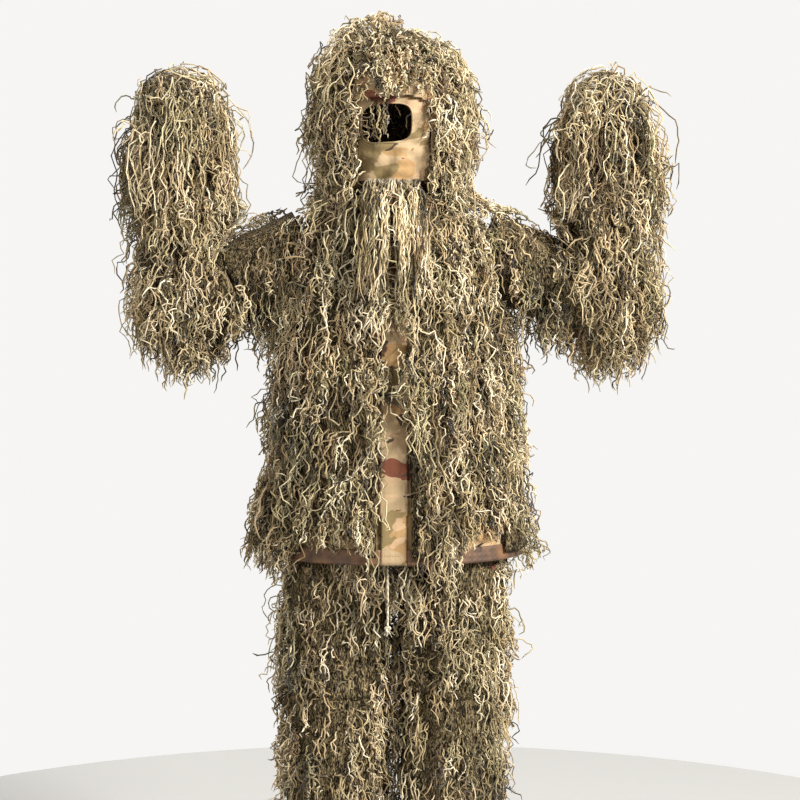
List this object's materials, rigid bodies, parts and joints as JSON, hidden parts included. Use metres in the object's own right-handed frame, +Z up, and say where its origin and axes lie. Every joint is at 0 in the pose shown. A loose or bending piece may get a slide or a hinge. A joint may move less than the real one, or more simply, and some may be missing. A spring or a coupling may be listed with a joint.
{
  "type": "ghillie suit",
  "caption": "Hooded jacket and trousers of printed cloth covered in long loose yarn, with a face veil, sleeves and legs that bend, and a hood that tips back.",
  "frame": {"origin": "on the wearer's shoulder line, midway between the shoulders, 1.47 m above the floor that the wearer stands on", "axes": "+Z up, the wearer faces -Y, +X to the wearer's left"},
  "size_m": [1.0232, 0.4084, 1.7653],
  "materials": {
    "printed_cloth": "matt woven cotton-polyester, desert print",
    "yarn": "matt crinkled yarn in mixed straw, khaki, olive and brown",
    "hem_tape": "matt woven tape",
    "elastic": "ribbed elastic cloth",
    "cord": "braided pale cord",
    "stud_metal": "brushed, dulled"
  },
  "bodies": {
    "jacket": {"jacket_back": "printed_cloth", "jacket_front_left": "printed_cloth", "jacket_front_right": "printed_cloth", "collar_band": "printed_cloth", "jacket_back_yarn": "yarn", "jacket_front_yarn_left": "yarn", "jacket_front_yarn_right": "yarn", "hem_band_back": "hem_tape", "hem_band_left": "hem_tape", "hem_band_right": "hem_tape", "placket_left": "printed_cloth", "placket_right": "printed_cloth", "press_stud_cap_1": "stud_metal", "press_stud_socket_1": "stud_metal", "press_stud_cap_2": "stud_metal", "press_stud_socket_2": "stud_metal", "shoulder_gusset_left": "printed_cloth", "shoulder_gusset_right": "printed_cloth"},
    "hood": {"hood_shell": "printed_cloth", "hood_yarn": "yarn", "brow_band": "printed_cloth"},
    "veil": {"face_veil": "printed_cloth", "beard_yarn": "yarn"},
    "hips": {"hips_cloth": "printed_cloth", "waistband": "elastic", "hips_yarn": "yarn", "hip_gusset_left": "printed_cloth", "hip_gusset_right": "printed_cloth", "drawstring": "cord", "drawstring_knot": "cord"},
    "upper_arm_left": {"upper_sleeve_left": "printed_cloth", "upper_sleeve_yarn_left": "yarn", "elbow_gusset_left": "printed_cloth", "elbow_yarn_left": "yarn"},
    "forearm_left": {"forearm_sleeve_left": "printed_cloth", "forearm_yarn_left": "yarn", "cuff_left": "elastic"},
    "thigh_left": {"thigh_cloth_left": "printed_cloth", "thigh_yarn_left": "yarn", "knee_gusset_left": "printed_cloth", "knee_yarn_left": "yarn"},
    "shin_left": {"shin_cloth_left": "printed_cloth", "shin_yarn_left": "yarn", "leg_hem_left": "elastic"},
    "upper_arm_right": {"upper_sleeve_right": "printed_cloth", "upper_sleeve_yarn_right": "yarn", "elbow_gusset_right": "printed_cloth", "elbow_yarn_right": "yarn"},
    "forearm_right": {"forearm_sleeve_right": "printed_cloth", "forearm_yarn_right": "yarn", "cuff_right": "elastic"},
    "thigh_right": {"thigh_cloth_right": "printed_cloth", "thigh_yarn_right": "yarn", "knee_gusset_right": "printed_cloth", "knee_yarn_right": "yarn"},
    "shin_right": {"shin_cloth_right": "printed_cloth", "shin_yarn_right": "yarn", "leg_hem_right": "elastic"}
  },
  "joints": [
    {"name": "hood_tip", "type": "hinge", "parent": "jacket", "child": "hood", "pos_m": [0, 0.17, 0.0203], "axis": [-1, 0, 0], "range_deg": [0, 75]},
    {"name": "veil_lift", "type": "hinge", "parent": "hood", "child": "veil", "pos_m": [0, -0.1188, 0.195], "axis": [-1, 0, 0], "range_deg": [0, 75]},
    {"name": "shoulder_left", "type": "hinge", "parent": "jacket", "child": "upper_arm_left", "pos_m": [0.185, 0, -0.09], "axis": [0, -1, 0], "range_deg": [-20, 10], "deforming": ["shoulder_gusset_left"]},
    {"name": "elbow_left", "type": "hinge", "parent": "upper_arm_left", "child": "forearm_left", "pos_m": [0.38964, 0, -0.18111], "axis": [0, 1, 0], "range_deg": [-5, 75], "deforming": ["elbow_gusset_left", "elbow_yarn_left"]},
    {"name": "shoulder_right", "type": "hinge", "parent": "jacket", "child": "upper_arm_right", "pos_m": [-0.185, 0, -0.09], "axis": [0, 1, 0], "range_deg": [-20, 10], "deforming": ["shoulder_gusset_right"]},
    {"name": "elbow_right", "type": "hinge", "parent": "upper_arm_right", "child": "forearm_right", "pos_m": [-0.38964, 0, -0.18111], "axis": [0, -1, 0], "range_deg": [-5, 75], "deforming": ["elbow_gusset_right", "elbow_yarn_right"]},
    {"name": "trousers_drop", "type": "slide", "parent": "jacket", "child": "hips", "axis": [0, 0, -1], "range_m": [0, 0.2]},
    {"name": "hip_left", "type": "hinge", "parent": "hips", "child": "thigh_left", "pos_m": [0.115, 0, -0.63], "axis": [-1, 0, 0], "range_deg": [-10, 25], "deforming": ["hip_gusset_left", "hips_yarn"]},
    {"name": "knee_left", "type": "hinge", "parent": "thigh_left", "child": "shin_left", "pos_m": [0.115, 0, -0.97], "axis": [1, 0, 0], "range_deg": [0, 60], "deforming": ["knee_gusset_left", "knee_yarn_left"]},
    {"name": "hip_right", "type": "hinge", "parent": "hips", "child": "thigh_right", "pos_m": [-0.115, 0, -0.63], "axis": [-1, 0, 0], "range_deg": [-10, 25], "deforming": ["hip_gusset_right"]},
    {"name": "knee_right", "type": "hinge", "parent": "thigh_right", "child": "shin_right", "pos_m": [-0.115, 0, -0.97], "axis": [1, 0, 0], "range_deg": [0, 60], "deforming": ["knee_gusset_right", "knee_yarn_right"]}
  ]
}
